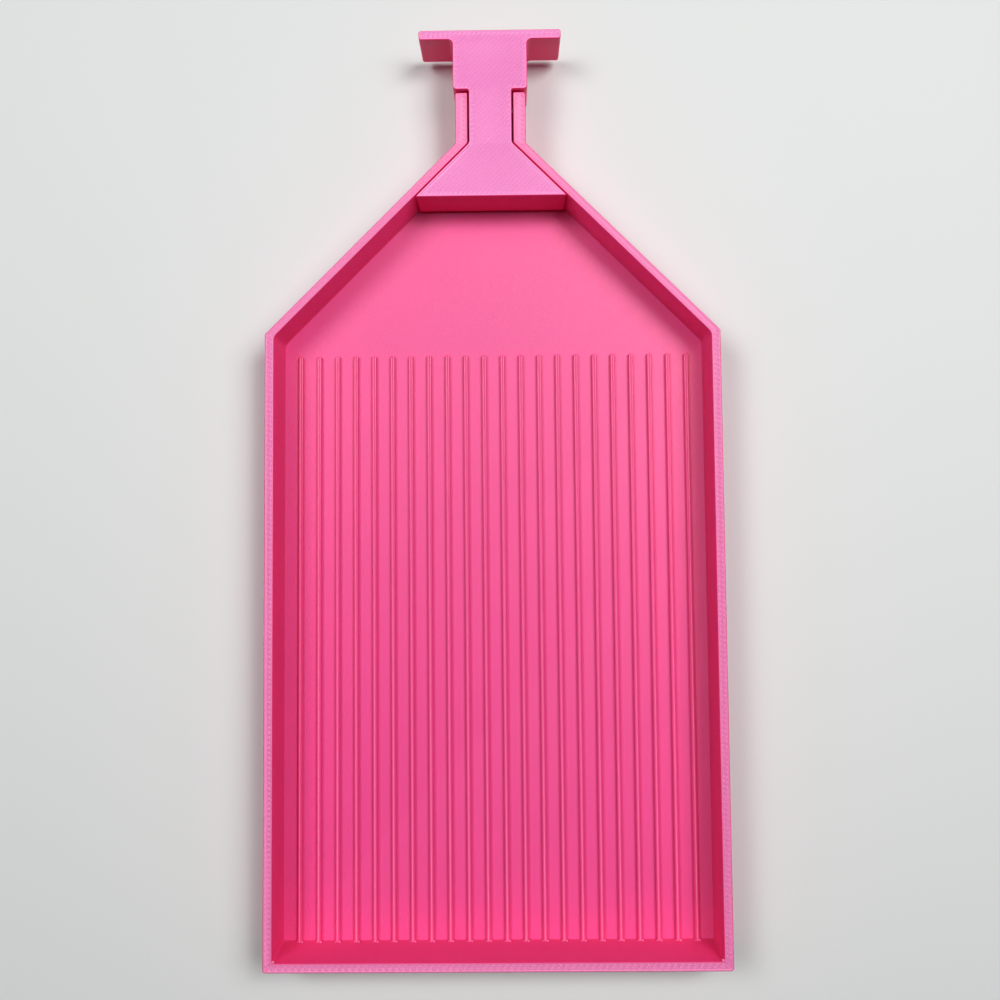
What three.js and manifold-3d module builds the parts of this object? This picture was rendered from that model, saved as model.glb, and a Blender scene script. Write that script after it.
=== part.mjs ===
// A bead sorting tray with a lift-out stopper, both printed in pink plastic.
// The tray is a shallow rectangular well with a ribbed floor, which narrows through a 45 degree
// funnel to a short open spout. The stopper is a flat plug: its flare fills the narrow end of the
// funnel, its neck lies in the spout, and its body and T-bar stand outside it for the fingers.
// Millimetres, +Z up, +Y towards the spout. The origin is on the table, under the middle of the
// rectangle that the tray and its stopper cover together.

import * as THREE from 'three';
import { mergeVertices } from 'three/addons/utils/BufferGeometryUtils.js';
import Module from 'manifold-3d';

const wasm = await Module();
wasm.setup();

// Tray: outside
const TOTAL_LENGTH = 194; // tray and stopper together
const TRAY_WIDTH = 95;
const TRAY_HEIGHT = 13;
const SIDE_LENGTH = 130; // straight sides, up to the shoulders
const SPOUT_WIDTH = 14.9;
const SPOUT_LENGTH = 10.95;

// Tray: thicknesses
const FLOOR = 2;
const WALL = 1.9;
const FUNNEL_WALL = 1.75;
const SPOUT_WALL = 2.65;

// Tray: roundings
const OUTER_CORNER_R = 0.6;
const SHOULDER_INNER_R = 2;
const THROAT_R = 0.8;
const SPOUT_END_R = 0.6;

// Ribs on the floor of the well, along Y
const RIB_COUNT = 22;
const RIB_PITCH = 4;
const RIB_WIDTH = 1;
const RIB_HEIGHT = 1;
const RIB_SETBACK = 3.3; // from the shoulders to the ribs' ends

// Stopper
const STOPPER_THICKNESS = 10.5;
const STOPPER_LIFT = 1.6; // its underside above the floor, where its snug fit holds it
const FLARE_LENGTH = 11.65; // from the throat to the flare's front face
const FLARE_CLEARANCE = 0.5;
const NECK_WIDTH = 9;
const BODY_WIDTH = 15.7;
const BODY_LENGTH = 10.75;
const BAR_WIDTH = 30;
const BAR_THICKNESS = 2;
const FLARE_TIP_R = 0.15;
const NECK_R = 1.2;
const NECK_FOOT_R = 0.4; // where the neck meets the body
const BODY_R = 0.8;
const BAR_INNER_R = 1;
const BAR_R = 0.5;

const ARC_STEPS = 6;
const OVERRUN = 1; // how far a cutting or joining solid passes the face it works on
const ROOT2 = Math.SQRT2;

// Places along Y
const frontY = -TOTAL_LENGTH / 2;
const shoulderY = frontY + SIDE_LENGTH;
const throatY = shoulderY + (TRAY_WIDTH - SPOUT_WIDTH) / 2;
const spoutEndY = throatY + SPOUT_LENGTH;
const barBackY = TOTAL_LENGTH / 2;
const barFrontY = barBackY - BAR_THICKNESS;
const bodyFrontY = barFrontY - BODY_LENGTH;
const flareFrontY = throatY - FLARE_LENGTH;

// Half the distance between the funnel's inner faces at a place along Y
function funnelInnerX(y) {
  return SPOUT_WIDTH / 2 + throatY - y - FUNNEL_WALL * ROOT2;
}

// Where the funnel's inner faces are this far from the middle plane
function funnelInnerY(x) {
  return SPOUT_WIDTH / 2 + throatY - x - FUNNEL_WALL * ROOT2;
}

// A closed outline through corners [x, y, radius], each rounded by an arc of its radius
function roundedOutline(corners) {
  const shape = new THREE.Shape();
  corners.forEach(([x, y, radius], i) => {
    const corner = new THREE.Vector2(x, y);
    const before = corners[(i + corners.length - 1) % corners.length];
    const after = corners[(i + 1) % corners.length];
    const toBefore = new THREE.Vector2(before[0], before[1]).sub(corner).normalize();
    const toAfter = new THREE.Vector2(after[0], after[1]).sub(corner).normalize();
    const halfAngle = Math.acos(toBefore.dot(toAfter)) / 2;
    const start = toBefore.clone().multiplyScalar(radius / Math.tan(halfAngle)).add(corner);
    const end = toAfter.clone().multiplyScalar(radius / Math.tan(halfAngle)).add(corner);
    if (i === 0) shape.moveTo(start.x, start.y);
    else shape.lineTo(start.x, start.y);
    if (radius === 0) return;
    const toCentre = toBefore.clone().add(toAfter).normalize();
    const centre = toCentre.multiplyScalar(radius / Math.sin(halfAngle)).add(corner);
    const startAngle = Math.atan2(start.y - centre.y, start.x - centre.x);
    const endAngle = Math.atan2(end.y - centre.y, end.x - centre.x);
    const clockwise = toBefore.cross(toAfter) > 0;
    shape.absarc(centre.x, centre.y, radius, startAngle, endAngle, clockwise);
  });
  shape.closePath();
  return shape;
}

// The corners of the +X half, front to back, followed by their mirror images
function mirrored(half) {
  return [...half, ...half.map(([x, y, radius]) => [-x, y, radius]).reverse()];
}

// The outline stood up as a solid between two heights
function prism(corners, lowZ, highZ) {
  const options = { depth: highZ - lowZ, bevelEnabled: false, curveSegments: ARC_STEPS };
  const geometry = new THREE.ExtrudeGeometry(roundedOutline(corners), options);
  geometry.translate(0, 0, lowZ);
  return toSolid(geometry);
}

function toSolid(geometry) {
  geometry.deleteAttribute('normal');
  geometry.deleteAttribute('uv');
  const merged = mergeVertices(geometry, 1e-5);
  const mesh = new wasm.Mesh({
    numProp: 3,
    vertProperties: new Float32Array(merged.attributes.position.array),
    triVerts: new Uint32Array(merged.index.array),
  });
  return new wasm.Manifold(mesh);
}

function toGeometry(solid) {
  const { vertProperties, triVerts } = solid.getMesh();
  const geometry = new THREE.BufferGeometry();
  geometry.setAttribute('position', new THREE.BufferAttribute(vertProperties, 3));
  geometry.setIndex(new THREE.BufferAttribute(triVerts, 1));
  geometry.computeVertexNormals();
  return geometry;
}

// The tray's full outside, still without its well
function trayBlock() {
  return prism(mirrored([
    [TRAY_WIDTH / 2, frontY, OUTER_CORNER_R],
    [TRAY_WIDTH / 2, shoulderY, OUTER_CORNER_R],
    [SPOUT_WIDTH / 2, throatY, THROAT_R],
    [SPOUT_WIDTH / 2, spoutEndY, SPOUT_END_R],
  ]), 0, TRAY_HEIGHT);
}

// What is hollow: the well, the funnel and the spout's channel, open above and at the spout's end
function trayHollow() {
  const wellX = TRAY_WIDTH / 2 - WALL;
  const channelX = SPOUT_WIDTH / 2 - SPOUT_WALL;
  return prism(mirrored([
    [wellX, frontY + WALL, 0],
    [wellX, funnelInnerY(wellX), SHOULDER_INNER_R],
    [channelX, funnelInnerY(channelX), THROAT_R],
    [channelX, spoutEndY + OVERRUN, 0],
  ]), FLOOR, TRAY_HEIGHT + OVERRUN);
}

// One rib, rooted in the floor and in the front wall
function rib(x) {
  const lowY = frontY + WALL - OVERRUN;
  const length = shoulderY - RIB_SETBACK - lowY;
  const height = RIB_HEIGHT + OVERRUN;
  const geometry = new THREE.BoxGeometry(RIB_WIDTH, length, height);
  geometry.translate(x, lowY + length / 2, FLOOR + RIB_HEIGHT - height / 2);
  return toSolid(geometry);
}

function traySolid() {
  let tray = trayBlock().subtract(trayHollow());
  for (let i = 0; i < RIB_COUNT; i += 1) {
    tray = tray.add(rib((i - (RIB_COUNT - 1) / 2) * RIB_PITCH));
  }
  return tray;
}

// The stopper: flare, neck, body and T-bar in one flat plug
function stopperSolid() {
  const sideInset = FLARE_CLEARANCE * ROOT2;
  const flareX = funnelInnerX(flareFrontY) - sideInset;
  const neckX = NECK_WIDTH / 2;
  const lowZ = FLOOR + STOPPER_LIFT;
  return prism(mirrored([
    [flareX, flareFrontY, FLARE_TIP_R],
    [neckX, funnelInnerY(neckX) - sideInset, NECK_R],
    [neckX, bodyFrontY, NECK_FOOT_R],
    [BODY_WIDTH / 2, bodyFrontY, BODY_R],
    [BODY_WIDTH / 2, barFrontY, BAR_INNER_R],
    [BAR_WIDTH / 2, barFrontY, BAR_R],
    [BAR_WIDTH / 2, barBackY, BAR_R],
  ]), lowZ, lowZ + STOPPER_THICKNESS);
}

function piece(name, solid, color) {
  const material = new THREE.MeshStandardMaterial({ color, roughness: 0.45, metalness: 0 });
  const mesh = new THREE.Mesh(toGeometry(solid), material);
  mesh.name = name;
  return mesh;
}

const group = new THREE.Group();
group.add(piece('tray', traySolid(), 0xf0569c));
group.add(piece('stopper', stopperSolid(), 0xf56fb0));

export default group;
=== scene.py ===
"""A pink 3-D-printed bead sorting tray and its lift-out stopper, in fine detail.

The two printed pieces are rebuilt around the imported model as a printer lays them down: walls of
stacked layers, a round bead along every top edge, diagonal infill lines between those beads, a
floor of diagonal lines and ribs of two beads side by side. Sizes are in millimetres until a mesh
is made.
"""

import math

import bpy
import numpy as np
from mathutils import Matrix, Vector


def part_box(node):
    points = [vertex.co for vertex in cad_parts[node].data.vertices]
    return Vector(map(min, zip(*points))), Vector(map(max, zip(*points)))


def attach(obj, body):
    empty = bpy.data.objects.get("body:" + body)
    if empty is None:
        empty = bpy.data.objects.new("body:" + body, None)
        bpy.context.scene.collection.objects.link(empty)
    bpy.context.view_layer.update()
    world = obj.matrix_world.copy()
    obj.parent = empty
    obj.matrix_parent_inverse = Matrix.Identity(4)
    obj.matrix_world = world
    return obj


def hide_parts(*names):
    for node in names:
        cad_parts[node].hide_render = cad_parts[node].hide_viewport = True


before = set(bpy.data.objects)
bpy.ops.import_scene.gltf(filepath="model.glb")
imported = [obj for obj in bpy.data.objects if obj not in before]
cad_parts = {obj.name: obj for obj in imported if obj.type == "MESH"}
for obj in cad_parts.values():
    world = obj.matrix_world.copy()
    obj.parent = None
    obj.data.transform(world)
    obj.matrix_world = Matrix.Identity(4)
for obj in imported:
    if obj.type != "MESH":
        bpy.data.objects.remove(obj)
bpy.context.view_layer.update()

MM = 0.001
scene = bpy.context.scene

# Tray and stopper: the sizes that the frame gives
tray_low, tray_high = (np.array(corner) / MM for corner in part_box("tray"))
stopper_low, stopper_high = (np.array(corner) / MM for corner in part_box("stopper"))
FRONT_Y, SPOUT_END_Y = tray_low[1], tray_high[1]
HALF_WIDTH = tray_high[0]
RIM_Z = tray_high[2]
BAR_BACK_Y = stopper_high[1]
STOPPER_LOW_Z, STOPPER_TOP_Z = stopper_low[2], stopper_high[2]

# Tray: the sizes inside that box
FLOOR = 2.0
WALL = 1.9
FUNNEL_WALL = 1.75
SPOUT_HALF = 7.45
CHANNEL_HALF = 4.8
SHOULDER_Y = FRONT_Y + 130.0
THROAT_Y = SHOULDER_Y + HALF_WIDTH - SPOUT_HALF
OUTER_CORNER_R = 0.6
SHOULDER_INNER_R = 2.0
THROAT_R = 0.8
SPOUT_END_R = 0.6

RIB_COUNT = 22
RIB_PITCH = 4.0
RIB_WIDTH = 1.0
RIB_HEIGHT = 1.0
RIB_SETBACK = 3.3
RIB_END_R = 0.25

# Stopper: the sizes inside its box
FLARE_LENGTH = 11.65
FLARE_CLEARANCE = 0.5
FLARE_TIP_R = 0.15
NECK_HALF = 4.5
NECK_R = 1.2
NECK_FOOT_R = 0.4
BODY_HALF = 7.85
BODY_LENGTH = 10.75
BODY_R = 0.8
BAR_HALF = 15.0
BAR_THICKNESS = 2.0
BAR_R = 0.5
BAR_INNER_R = 1.0

# How the printer laid the plastic down
LAYER = 0.2
LAYER_GROOVE = 0.022
FLOOR_LINE = 0.42
FLOOR_GROOVE = 0.09
TOP_LINE = 0.36
FRONT_RIM_LINE = 0.48
LINE_ROUNDNESS = 1.3

# Profiles of a printed side: (inset, height above its foot), (share of a layer, share of the
# groove's depth) and (inset, depth below its top)
FOOT_ROWS = ((0.12, 0), (0.03, 0.05))
LAYER_ROWS = ((0.0, 1.0), (0.2, 0.3), (0.5, 0.0), (0.8, 0.3))
EDGE_BEAD_ROWS = (
    (0.03, 0.12),
    (0.09, 0.055),
    (0.16, 0.015),
    (0.24, 0),
    (0.32, 0.012),
    (0.38, 0.04),
    (0.43, 0.09),
)

# Infill between the edge beads, from the outline inwards: it starts under the bead, rises out of
# it, has its pits and then its open lines
INFILL_START = 0.26
INFILL_RISE = (0.28, 0.52)
INFILL_TUCK = 0.13
INFILL_DROP = 0.008
PIT_PLACE = 0.58
PIT_SPREAD = 0.19
PIT_HALF_WIDTH = 0.16
PIT_DEPTH = 0.32
LINE_ENDS = (0.55, 0.95)
OPEN_END_EXTRA = 0.4
CLOSED_END_LOSS = 0.75
STEP_ALONG = 0.17
STEPS_ACROSS = 4

# Grooves in the four infilled tops: their depth, and how much shallower every second one is
FRONT_RIM_GROOVE, FRONT_RIM_PAIRING = 0.17, 0.7
SIDE_RIM_GROOVE, SIDE_RIM_PAIRING = 0.2, 0.0
FUNNEL_RIM_GROOVE, FUNNEL_RIM_PAIRING = 0.05, 0.5
STOPPER_GROOVE, STOPPER_PAIRING = 0.12, 0.1

# How far hidden ends run on into the plastic that they grow from, and how far the floor's lines
# reach below and above the floor's height
RIB_ROOT = 0.8
WALL_ROOT = 0.09
FLOOR_LINES_ROOT = 0.5
FLOOR_LINES_BASE = 0.3
FLOOR_LINES_PROUD = 0.01

# Drops and seams, with place and radii, and how far the plate stays below the floor's height
RIB_DROP_PLACE, RIB_DROP_RADII = (0.5, 0.08, 0.0), (0.23, 0.2, 0.2)
SMALL_DROP_PLACE, SMALL_DROP_RADII = (-0.5, 0.0, -0.1), (0.15, 0.12, 0.15)
PLATE_SHORT = 0.04
PLATE_LAST_GAP = 0.01
SEAM_R = 0.24
SEAM_SIDES = 8
SEAM_SHORT = 0.1
SEAM_DROP_INSET = 0.25
SEAM_DROP_DEPTH = 0.2
SEAM_DROP_RADII = (0.32, 0.32, 0.2)

ARC_STEPS = 5
ROOT2 = math.sqrt(2)
SHARP_EDGE = math.radians(50)

# Lit and shaded copies of one pink print, as places in its list of materials: layered sides in a
# deeper pink (painted shade), topmost lines in a lighter pink (painted sheen), the tray's floor in
# a lighter pink (painted light) and its ribs. A groove or pit deeper than the limit takes the
# sides' deeper pink as painted shade.
SIDE, TOP, GROUND, RIB = 0, 1, 2, 3
TOP_ROWS = len(EDGE_BEAD_ROWS) - 2
SHADED_SHARE = 0.6
SHADED_BEYOND = 0.02

# Colours and roughness: copies of one pink plastic, deepened on the sides as painted shade and
# lightened on the tops and the floor as painted sheen and painted light
# Deeper pink of the tray's sides and of its deep grooves and pits: painted shade
SIDE_PINK_PAINTED_SHADE = (0.95, 0.055, 0.25)
# Lighter, whiter pink of the tray's tops, infill and drops: painted sheen
TOP_PINK_PAINTED_SHEEN = (0.97, 0.24, 0.53)
# Lighter pink of the tray's floor: painted light
GROUND_PINK_PAINTED_LIGHT = (0.93, 0.095, 0.39)
RIB_PINK = (0.95, 0.07, 0.29)
# Deeper pink of the stopper's sides: painted shade
STOPPER_SIDE_PINK_PAINTED_SHADE = (0.93, 0.03, 0.19)
# Lighter, whiter pink of the stopper's top: painted sheen
STOPPER_TOP_PINK_PAINTED_SHEEN = (0.98, 0.30, 0.67)
PALE_TABLE = (0.8, 0.82, 0.81)
SATIN = 0.42
GLOSSIER = 0.3
GLOSS_SWING = 0.06
CLOUD_SHADE = 0.93

# Stage, in metres and watts
TABLE_REACH = 3.0
TABLE_DROP = 0.0001
WORLD_STRENGTH = 0.015
CAMERA_PLACE = (0.00337, -0.00413, 0.21746)
CAMERA_TURN_DEGREES = (3.178, 0.58, -0.519)
CAMERA_SENSOR_MM = 36.0
CAMERA_LENS_MM = 35.64
CAMERA_SHIFT_Y = -0.045
CAMERA_CLIP_START = 0.01


# ---------------------------------------------------------------- outlines


def funnel_inner(offset):
    """x of the funnel's inner face at this y, or its y at this x: the face lies at 45 degrees."""
    return SPOUT_HALF + THROAT_Y - offset - FUNNEL_WALL * ROOT2


def mirrored(half):
    """The corners of the +X half, front to back, then their mirror images."""
    return half + [(-x, y, r) for x, y, r in reversed(half)]


def rounded(corners):
    """Points of a closed outline through corners (x, y, radius), each rounded by its radius."""
    points = []
    for i, (x, y, radius) in enumerate(corners):
        corner = np.array([x, y])
        back = np.array(corners[i - 1][:2]) - corner
        ahead = np.array(corners[(i + 1) % len(corners)][:2]) - corner
        back, ahead = back / np.linalg.norm(back), ahead / np.linalg.norm(ahead)
        if radius == 0:
            points.append(corner)
            continue
        half_angle = math.acos(np.clip(back @ ahead, -1, 1)) / 2
        middle = (back + ahead) / np.linalg.norm(back + ahead)
        centre = corner + middle * radius / math.sin(half_angle)
        start = corner + back * radius / math.tan(half_angle) - centre
        end = corner + ahead * radius / math.tan(half_angle) - centre
        turn = math.atan2(start[0] * end[1] - start[1] * end[0], start @ end)
        for step in range(ARC_STEPS + 1):
            angle = turn * step / ARC_STEPS
            c, s = math.cos(angle), math.sin(angle)
            points.append(centre + [c * start[0] - s * start[1], s * start[0] + c * start[1]])
    return np.array(points)


def outside_half():
    return [
        (HALF_WIDTH, FRONT_Y, OUTER_CORNER_R),
        (HALF_WIDTH, SHOULDER_Y, OUTER_CORNER_R),
        (SPOUT_HALF, THROAT_Y, THROAT_R),
        (SPOUT_HALF, SPOUT_END_Y, SPOUT_END_R),
    ]


def inside_half():
    well = HALF_WIDTH - WALL
    return [
        (well, FRONT_Y + WALL, 0),
        (well, funnel_inner(well), SHOULDER_INNER_R),
        (CHANNEL_HALF, funnel_inner(CHANNEL_HALF), THROAT_R),
        (CHANNEL_HALF, SPOUT_END_Y, SPOUT_END_R / 2),
    ]


def rim_outline():
    """The walls seen from above, one closed band that is open at the spout's end."""
    outer = mirrored(outside_half())
    right, left = outer[: len(outer) // 2], outer[len(outer) // 2 :]
    inner = mirrored(inside_half())
    inner_right, inner_left = inner[: len(inner) // 2], inner[len(inner) // 2 :]
    return left + right + inner_right[::-1] + inner_left[::-1]


def stopper_outline():
    side_inset = FLARE_CLEARANCE * ROOT2
    flare_y = THROAT_Y - FLARE_LENGTH
    bar_y = BAR_BACK_Y - BAR_THICKNESS
    body_y = bar_y - BODY_LENGTH
    return mirrored([
        (funnel_inner(flare_y) - side_inset, flare_y, FLARE_TIP_R),
        (NECK_HALF, funnel_inner(NECK_HALF) - side_inset, NECK_R),
        (NECK_HALF, body_y, NECK_FOOT_R),
        (BODY_HALF, body_y, BODY_R),
        (BODY_HALF, bar_y, BAR_INNER_R),
        (BAR_HALF, bar_y, BAR_R),
        (BAR_HALF, BAR_BACK_Y, BAR_R),
    ])


def inset(corners, distance):
    """The same corners moved into the material, which lies to the left of the way round."""
    moved = []
    for i, (x, y, radius) in enumerate(corners):
        corner = np.array([x, y])
        back = corner - np.array(corners[i - 1][:2])
        ahead = np.array(corners[(i + 1) % len(corners)][:2]) - corner
        back, ahead = back / np.linalg.norm(back), ahead / np.linalg.norm(ahead)
        turn = back[0] * ahead[1] - back[1] * ahead[0]
        normal = np.array([-back[1] - ahead[1], back[0] + ahead[0]])
        corner = corner + normal * distance / (1 + back @ ahead)
        if radius:
            radius = max(radius - math.copysign(distance, turn), 0.02)
        moved.append((*corner, radius))
    return moved


# ---------------------------------------------------------------- printed solids


class Plastic:
    """Vertices, in millimetres, and faces of one printed piece, gathered part by part."""

    def __init__(self):
        self.vertices = []
        self.faces = []
        self.colour_slots = []
        self.count = 0

    def add(self, vertices, faces, colour_slots=SIDE):
        """Adds faces with one colour slot for all of them, or a list with one for each."""
        self.vertices.append(np.asarray(vertices, float))
        self.faces += [[i + self.count for i in face] for face in faces]
        self.colour_slots += np.broadcast_to(colour_slots, len(faces)).tolist()
        self.count += len(vertices)

    def to_object(self, name, materials):
        mesh = bpy.data.meshes.new(name)
        mesh.from_pydata((np.concatenate(self.vertices) * MM).tolist(), [], self.faces)
        mesh.polygons.foreach_set("use_smooth", [True] * len(mesh.polygons))
        for material in materials:
            mesh.materials.append(material)
        mesh.polygons.foreach_set("material_index", self.colour_slots)
        mesh.set_sharp_from_angle(angle=SHARP_EDGE)
        mesh.update()
        piece = bpy.data.objects.new(name, mesh)
        scene.collection.objects.link(piece)
        return piece


def layer_rows(low, high):
    """(inset, height) rows up the side of a printed solid: round layers, then a round top edge."""
    layers = round((high - low) / LAYER)
    height = (high - low) / layers
    rows = [(distance, low + rise) for distance, rise in FOOT_ROWS]
    lowest, highest = low + 2 * FOOT_ROWS[-1][1], high - EDGE_BEAD_ROWS[0][1]
    for layer in range(layers):
        for share, depth in LAYER_ROWS:
            z = low + (layer + share) * height
            if lowest < z < highest:
                rows.append((LAYER_GROOVE * depth, z))
    return rows + [(distance, high - drop) for distance, drop in EDGE_BEAD_ROWS]


def printed_prism(plastic, corners, low, high, top=TOP):
    """A closed solid of these corners, with layered sides and a bead along its top edge."""
    stack_rows(plastic, corners, layer_rows(low, high), top)


def stack_rows(plastic, corners, rows, top):
    """A closed solid through copies of the outline, each with its own inset and height.

    The cap and the faces of the last few rows take the colour slot top, the others the sides'
    slot, whose deeper pink is a painted shade.
    """
    outlines = [rounded(inset(corners, distance)) for distance, _ in rows]
    n = len(outlines[0])
    vertices = [
        np.column_stack([outline, np.full(n, z)])
        for outline, (_, z) in zip(outlines, rows, strict=True)
    ]
    top_cap = list(range(n * (len(rows) - 1), n * len(rows)))
    sides, tops = [list(range(n))[::-1]], [top_cap]
    for row in range(len(rows) - 1):
        faces = tops if row >= len(rows) - TOP_ROWS else sides
        for i in range(n):
            j = (i + 1) % n
            a, b = row * n, row * n + n
            faces.append([a + i, a + j, b + j, b + i])
    plastic.add(np.concatenate(vertices), sides + tops, [SIDE] * len(sides) + [top] * len(tops))


def depth_inside(x, y, outline):
    """How far points lie inside the outline, and the outward normal of the nearest side."""
    ends = np.roll(outline, -1, axis=0)
    best = np.full(x.shape, np.inf)
    normal_x, normal_y = np.zeros(x.shape), np.zeros(x.shape)
    inside = np.zeros(x.shape, bool)
    for (ax, ay), (bx, by) in zip(outline, ends, strict=True):
        sx, sy = bx - ax, by - ay
        length = math.hypot(sx, sy)
        t = np.clip(((x - ax) * sx + (y - ay) * sy) / length**2, 0, 1)
        distance = np.hypot(x - ax - t * sx, y - ay - t * sy)
        nearer = distance < best
        best = np.where(nearer, distance, best)
        normal_x = np.where(nearer, sy / length, normal_x)
        normal_y = np.where(nearer, -sx / length, normal_y)
        if ay != by:
            crosses = ((ay > y) != (by > y)) & (x < (bx - ax) * (y - ay) / (by - ay) + ax)
            inside ^= crosses
    return np.where(inside, best, -best), normal_x, normal_y


def smooth_step(low, high, value):
    t = np.clip((value - low) / (high - low), 0, 1)
    return t * t * (3 - 2 * t)


def infill_cut(across, depth, faces_ahead, line, pairing, groove_depth):
    """How deep the grooves between the infill's lines are.

    Lines run side by side. Each is joined to one neighbour at one end and to the other at the
    other end, so along an edge every second groove closes and the others open into a small pit.
    """
    groove = np.round(across / line)
    from_groove = np.abs(across - groove * line)
    even = groove % 2 == 0
    shallow = np.where(even, 1.0, 1.0 - pairing)
    cut = groove_depth * shallow * (1 - np.clip(2 * from_groove / line, 0, 1) ** LINE_ROUNDNESS)
    open_end = even == faces_ahead
    near_edge = 1 - smooth_step(*LINE_ENDS, depth)
    cut *= np.where(open_end, 1 + OPEN_END_EXTRA * near_edge, 1 - CLOSED_END_LOSS * near_edge)
    pit = np.exp(-(((depth - PIT_PLACE) / PIT_SPREAD) ** 2))
    pit = pit * np.exp(-((from_groove / PIT_HALF_WIDTH) ** 2))
    return cut + np.where(open_end, PIT_DEPTH * pit, 0)


def infill(plastic, corners, top, line, slant, low_y, high_y, pairing, groove_depth):
    """Diagonal lines that fill the outline between its edge beads. slant is 1 for /, -1 for \\."""
    outline = rounded(corners)
    low_x, high_x = outline[:, 0].min(), outline[:, 0].max()
    clipped = np.array([(x, y) for x in (low_x, high_x) for y in (low_y, high_y)])
    along_all = (clipped[:, 0] + slant * clipped[:, 1]) / ROOT2
    across_all = (clipped[:, 1] - slant * clipped[:, 0]) / ROOT2
    step_across = line / STEPS_ACROSS
    along = np.arange(along_all.min(), along_all.max() + STEP_ALONG, STEP_ALONG)
    first = math.floor(across_all.min() / line) * line
    across = np.arange(first, across_all.max() + step_across, step_across)
    ids = np.full((len(across), len(along)), -1)
    vertices, cuts, total = [], [], 0
    for row, c in enumerate(across):
        x = (along - slant * c) / ROOT2
        y = (slant * along + c) / ROOT2
        near = np.flatnonzero((y > low_y) & (y < high_y))
        if not len(near):
            continue
        x, y = x[near], y[near]
        depth, normal_x, normal_y = depth_inside(x, y, outline)
        keep = depth > INFILL_START
        ahead = normal_x + slant * normal_y > 0
        cut = infill_cut(c, depth, ahead, line, pairing, groove_depth)
        tucked = INFILL_TUCK * (1 - smooth_step(*INFILL_RISE, depth))
        z = top - INFILL_DROP - cut - tucked
        ids[row, near[keep]] = np.arange(total, total + keep.sum())
        total += keep.sum()
        vertices.append(np.column_stack([x[keep], y[keep], z[keep]]))
        cuts.append(cut[keep])
    a, b, c, d = ids[:-1, :-1], ids[:-1, 1:], ids[1:, 1:], ids[1:, :-1]
    whole = (a >= 0) & (b >= 0) & (c >= 0) & (d >= 0)
    quads = np.stack([a[whole], b[whole], c[whole], d[whole]], axis=1)
    if slant < 0:
        quads = quads[:, ::-1]
    # Quads over deep grooves and pits take the sides' deeper pink as painted shade; the rest take
    # the lighter top pink as painted sheen.
    limit = SHADED_SHARE * groove_depth + SHADED_BEYOND
    shaded = np.concatenate(cuts)[quads].mean(axis=1) > limit
    plastic.add(np.concatenate(vertices), quads.tolist(), np.where(shaded, SIDE, TOP))


def floor_lines(plastic, polygon, base, top, line):
    """A thin closed slab whose top is a row of / lines, cut to a convex polygon."""
    across_of = (polygon[:, 1] - polygon[:, 0]) / ROOT2
    fine = np.arange(across_of.min(), across_of.max(), line / STEPS_ACROSS)
    cuts = np.unique(np.concatenate([fine, across_of]))[1:-1]
    ends = np.roll(polygon, -1, axis=0)
    ends_across = np.roll(across_of, -1)
    upper = []
    for c in cuts:
        hits = []
        for p, q, cp, cq in zip(polygon, ends, across_of, ends_across, strict=True):
            if min(cp, cq) <= c <= max(cp, cq) and cp != cq:
                hits.append(p + (q - p) * (c - cp) / (cq - cp))
        hits.sort(key=lambda point: point[0] + point[1])
        from_groove = abs(c / line - round(c / line))
        z = top - FLOOR_GROOVE * (1 - np.clip(2 * from_groove, 0, 1) ** LINE_ROUNDNESS)
        upper += [(*hits[0], z), (*hits[-1], z)]
    upper = np.array(upper)
    lower = upper.copy()
    lower[:, 2] = base
    n, last = len(upper), len(upper) - 2
    faces = []
    for i in range(0, last, 2):
        faces.append([i, i + 1, i + 3, i + 2])
        faces.append([n + i + 2, n + i + 3, n + i + 1, n + i])
        faces.append([i + 2, n + i + 2, n + i, i])
        faces.append([i + 1, n + i + 1, n + i + 3, i + 3])
    faces.append([0, n, n + 1, 1])
    faces.append([last + 1, n + last + 1, n + last, last])
    # The floor's lines take the lighter floor pink, a painted light.
    plastic.add(np.concatenate([upper, lower]), faces, GROUND)


def blob(plastic, centre, radii, rings=5, turns=8):
    """A small round drop of plastic, in the lighter top pink that is a painted sheen."""
    vertices = [(0, 0, -1)]
    for ring in range(1, rings):
        tilt = math.pi * ring / rings
        for turn in range(turns):
            angle = 2 * math.pi * turn / turns
            flat = math.sin(tilt)
            vertices.append((flat * math.cos(angle), flat * math.sin(angle), -math.cos(tilt)))
    vertices.append((0, 0, 1))
    top = len(vertices) - 1
    faces = []
    for turn in range(turns):
        after = (turn + 1) % turns
        faces.append([0, 1 + after, 1 + turn])
        for ring in range(rings - 2):
            a, b = 1 + ring * turns, 1 + (ring + 1) * turns
            faces.append([a + turn, a + after, b + after, b + turn])
        last = 1 + (rings - 2) * turns
        faces.append([last + turn, last + after, top])
    plastic.add(np.array(vertices) * radii + centre, faces, TOP)


# ---------------------------------------------------------------- the two pieces


def rib_places():
    """x of each rib's middle."""
    return [(i - (RIB_COUNT - 1) / 2) * RIB_PITCH for i in range(RIB_COUNT)]


def add_ribs(plastic):
    low_y = FRONT_Y + WALL - RIB_ROOT
    high_y = SHOULDER_Y - RIB_SETBACK
    half = RIB_WIDTH / 2
    for x in rib_places():
        corners = [
            (x + half, low_y, 0),
            (x + half, high_y, RIB_END_R),
            (x - half, high_y, RIB_END_R),
            (x - half, low_y, 0),
        ]
        printed_prism(plastic, corners, FLOOR, FLOOR + RIB_HEIGHT, RIB)


def add_rib_feet(plastic):
    """A drop on one side of each rib's foot at the front wall, and a smaller one on the other."""
    for x in rib_places():
        foot = np.array([x, FRONT_Y + WALL, FLOOR + RIB_HEIGHT])
        blob(plastic, foot + RIB_DROP_PLACE, RIB_DROP_RADII)
        blob(plastic, foot + SMALL_DROP_PLACE, SMALL_DROP_RADII)


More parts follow.
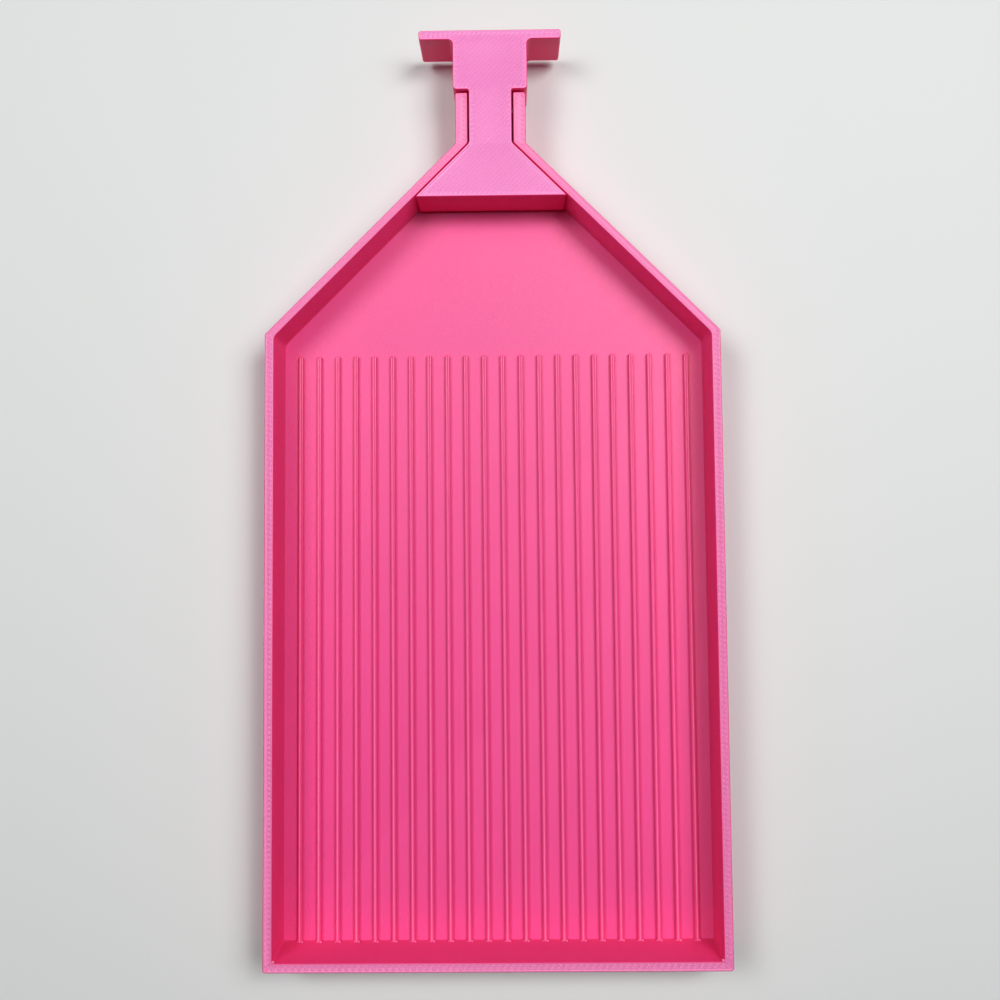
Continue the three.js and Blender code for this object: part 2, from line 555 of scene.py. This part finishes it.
def add_corner_seams(plastic):
    """The printer starts each layer in the well's front corners and leaves a thin upright bead."""
    angles = np.linspace(0, 2 * math.pi, SEAM_SIDES, endpoint=False)
    y = FRONT_Y + WALL
    for side in (-1, 1):
        x = side * (HALF_WIDTH - WALL)
        corners = [(x + SEAM_R * math.cos(a), y + SEAM_R * math.sin(a), 0) for a in angles]
        printed_prism(plastic, corners, FLOOR, RIM_Z - SEAM_SHORT)
        drop = (x - side * SEAM_DROP_INSET, y + SEAM_DROP_INSET, RIM_Z - SEAM_DROP_DEPTH)
        blob(plastic, drop, SEAM_DROP_RADII)


def add_rim_lines(plastic, rim):
    """Fine lines along the tray's top: striped in front, braided at the sides, faint behind."""
    front_band = FRONT_Y + WALL
    front = (FRONT_RIM_LINE, -1, FRONT_Y, front_band, FRONT_RIM_PAIRING, FRONT_RIM_GROOVE)
    sides = (TOP_LINE, -1, front_band, SHOULDER_Y, SIDE_RIM_PAIRING, SIDE_RIM_GROOVE)
    behind = (TOP_LINE, -1, SHOULDER_Y, SPOUT_END_Y, FUNNEL_RIM_PAIRING, FUNNEL_RIM_GROOVE)
    for band in (front, sides, behind):
        infill(plastic, rim, RIM_Z, *band)


def add_floor(plastic):
    """The floor's top, in two parts that run on a little into the walls."""
    well = HALF_WIDTH - WALL + FLOOR_LINES_ROOT
    channel = CHANNEL_HALF + FLOOR_LINES_ROOT
    floor_half = [
        (well, FRONT_Y + WALL - FLOOR_LINES_ROOT, 0),
        (well, funnel_inner(well) + 2 * FLOOR_LINES_ROOT, 0),
        (channel, funnel_inner(channel) + 2 * FLOOR_LINES_ROOT, 0),
    ]
    channel_half = [(channel, THROAT_Y - 3 * FLOOR_LINES_ROOT, 0), (channel, SPOUT_END_Y, 0)]
    base, top = FLOOR - FLOOR_LINES_BASE, FLOOR + FLOOR_LINES_PROUD
    for half in (floor_half, channel_half):
        floor_lines(plastic, rounded(mirrored(half)), base, top, FLOOR_LINE)


def build_tray(materials):
    plastic = Plastic()
    rim = rim_outline()
    printed_plate(plastic, mirrored(outside_half()))
    printed_prism(plastic, rim, FLOOR - WALL_ROOT, RIM_Z)
    add_rim_lines(plastic, rim)
    add_floor(plastic)
    add_ribs(plastic)
    add_rib_feet(plastic)
    add_corner_seams(plastic)
    piece = plastic.to_object("tray_print", materials)
    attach(piece, "tray")
    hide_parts("tray")


def printed_plate(plastic, corners):
    """The tray's base plate: layered edges, flat above and below."""
    top = FLOOR - PLATE_SHORT
    rows = [row for row in layer_rows(0.0, FLOOR + LAYER) if row[1] < top - PLATE_LAST_GAP]
    rows.append((LAYER_GROOVE, top))
    stack_rows(plastic, corners, rows, SIDE)


def build_stopper(materials):
    plastic = Plastic()
    outline = stopper_outline()
    printed_prism(plastic, outline, STOPPER_LOW_Z, STOPPER_TOP_Z)
    low_y = THROAT_Y - FLARE_LENGTH
    lines = (TOP_LINE, 1, low_y, BAR_BACK_Y, STOPPER_PAIRING, STOPPER_GROOVE)
    infill(plastic, outline, STOPPER_TOP_Z, *lines)
    piece = plastic.to_object("stopper_print", materials)
    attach(piece, "stopper")
    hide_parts("stopper")


# ---------------------------------------------------------------- materials


def printed_plastic(name, colour, roughness):
    """Satin plastic with faint cloudiness, uneven gloss and a very fine rough skin."""
    material = bpy.data.materials.new(name)
    material.use_nodes = True
    nodes, links = material.node_tree.nodes, material.node_tree.links
    shader = nodes["Principled BSDF"]
    shader.inputs["Specular IOR Level"].default_value = 0.5
    shader.inputs["IOR"].default_value = 1.46
    place = nodes.new("ShaderNodeTexCoord")

    def noise(scale, detail):
        node = nodes.new("ShaderNodeTexNoise")
        node.inputs["Scale"].default_value = scale
        node.inputs["Detail"].default_value = detail
        links.new(place.outputs["Object"], node.inputs["Vector"])
        return node.outputs["Fac"]

    cloud = noise(90.0, 4.0)
    mix = nodes.new("ShaderNodeMix")
    mix.data_type = "RGBA"
    mix.inputs["A"].default_value = (*(CLOUD_SHADE * part for part in colour), 1)
    mix.inputs["B"].default_value = (*colour, 1)
    links.new(cloud, mix.inputs["Factor"])
    links.new(mix.outputs["Result"], shader.inputs["Base Color"])

    gloss = nodes.new("ShaderNodeMapRange")
    gloss.inputs["To Min"].default_value = roughness - GLOSS_SWING
    gloss.inputs["To Max"].default_value = roughness + GLOSS_SWING
    links.new(noise(900.0, 3.0), gloss.inputs["Value"])
    links.new(gloss.outputs["Result"], shader.inputs["Roughness"])

    bump = nodes.new("ShaderNodeBump")
    bump.inputs["Strength"].default_value = 0.25
    bump.inputs["Distance"].default_value = 0.00003
    links.new(noise(7000.0, 2.0), bump.inputs["Height"])
    links.new(bump.outputs["Normal"], shader.inputs["Normal"])
    return material


def table_top():
    """Pale and matt."""
    material = bpy.data.materials.new("table_top")
    material.use_nodes = True
    shader = material.node_tree.nodes["Principled BSDF"]
    shader.inputs["Base Color"].default_value = (*PALE_TABLE, 1)
    shader.inputs["Roughness"].default_value = 0.6
    shader.inputs["Specular IOR Level"].default_value = 0.0
    return material


# ---------------------------------------------------------------- stage, light, camera


def build_floor():
    mesh = bpy.data.meshes.new("table")
    signs = ((-1, -1), (1, -1), (1, 1), (-1, 1))
    corners = [(TABLE_REACH * x, TABLE_REACH * y, 0) for x, y in signs]
    mesh.from_pydata(corners, [], [[0, 1, 2, 3]])
    mesh.materials.append(table_top())
    floor = bpy.data.objects.new("table", mesh)
    floor.location.z = -TABLE_DROP
    scene.collection.objects.link(floor)


def bpy_vector(values):
    return Vector([float(v) for v in values])


def soft_box(name, place, size, power):
    """A square lamp that faces the middle of the object's base."""
    light = bpy.data.lights.new(name, "AREA")
    light.shape = "SQUARE"
    light.size = size
    light.energy = power
    lamp = bpy.data.objects.new(name, light)
    lamp.location = place
    lamp.rotation_mode = "QUATERNION"
    lamp.rotation_quaternion = bpy_vector(-np.array(place)).to_track_quat("-Z", "Y")
    scene.collection.objects.link(lamp)
    return lamp


def build_light():
    """A soft lamp and a smaller one from each side, and one that is seen only as a reflection."""
    world = bpy.data.worlds.new("studio")
    world.use_nodes = True
    background = world.node_tree.nodes["Background"]
    background.inputs["Color"].default_value = (1.0, 1.0, 1.0, 1)
    background.inputs["Strength"].default_value = WORLD_STRENGTH
    scene.world = world
    soft_box("right", (0.3, 0.15, 0.6), 0.3, 2.12)
    soft_box("right_small", (0.15, 0.15, 0.45), 0.12, 0.48)
    soft_box("left", (-0.3, 0.15, 0.6), 0.3, 1.48)
    soft_box("left_small", (-0.22, 0.15, 0.45), 0.12, 0.28)
    sheen = soft_box("sheen", (0.0, 0.3, 0.6), 0.4, 1.7)
    sheen.visible_diffuse = False


def build_camera():
    data = bpy.data.cameras.new("camera")
    data.sensor_width = CAMERA_SENSOR_MM
    data.lens = CAMERA_LENS_MM
    data.shift_y = CAMERA_SHIFT_Y
    data.clip_start = CAMERA_CLIP_START
    camera = bpy.data.objects.new("camera", data)
    camera.location = CAMERA_PLACE
    camera.rotation_euler = [math.radians(angle) for angle in CAMERA_TURN_DEGREES]
    scene.collection.objects.link(camera)
    scene.camera = camera


scene.view_settings.view_transform = "Standard"
# One pink plastic in copies: sides deepened as painted shade, tops lightened as painted sheen,
# floor lightened as painted light
build_tray([
    printed_plastic("tray_sides_painted_shade", SIDE_PINK_PAINTED_SHADE, SATIN),
    printed_plastic("tray_tops_painted_sheen", TOP_PINK_PAINTED_SHEEN, SATIN),
    printed_plastic("tray_ground_painted_light", GROUND_PINK_PAINTED_LIGHT, SATIN),
    printed_plastic("tray_ribs", RIB_PINK, GLOSSIER),
])
# The stopper's copies of the pink: sides deepened as painted shade, top lightened as painted sheen
build_stopper([
    printed_plastic("stopper_sides_painted_shade", STOPPER_SIDE_PINK_PAINTED_SHADE, SATIN),
    printed_plastic("stopper_tops_painted_sheen", STOPPER_TOP_PINK_PAINTED_SHEEN, SATIN),
])
build_floor()
build_light()
build_camera()
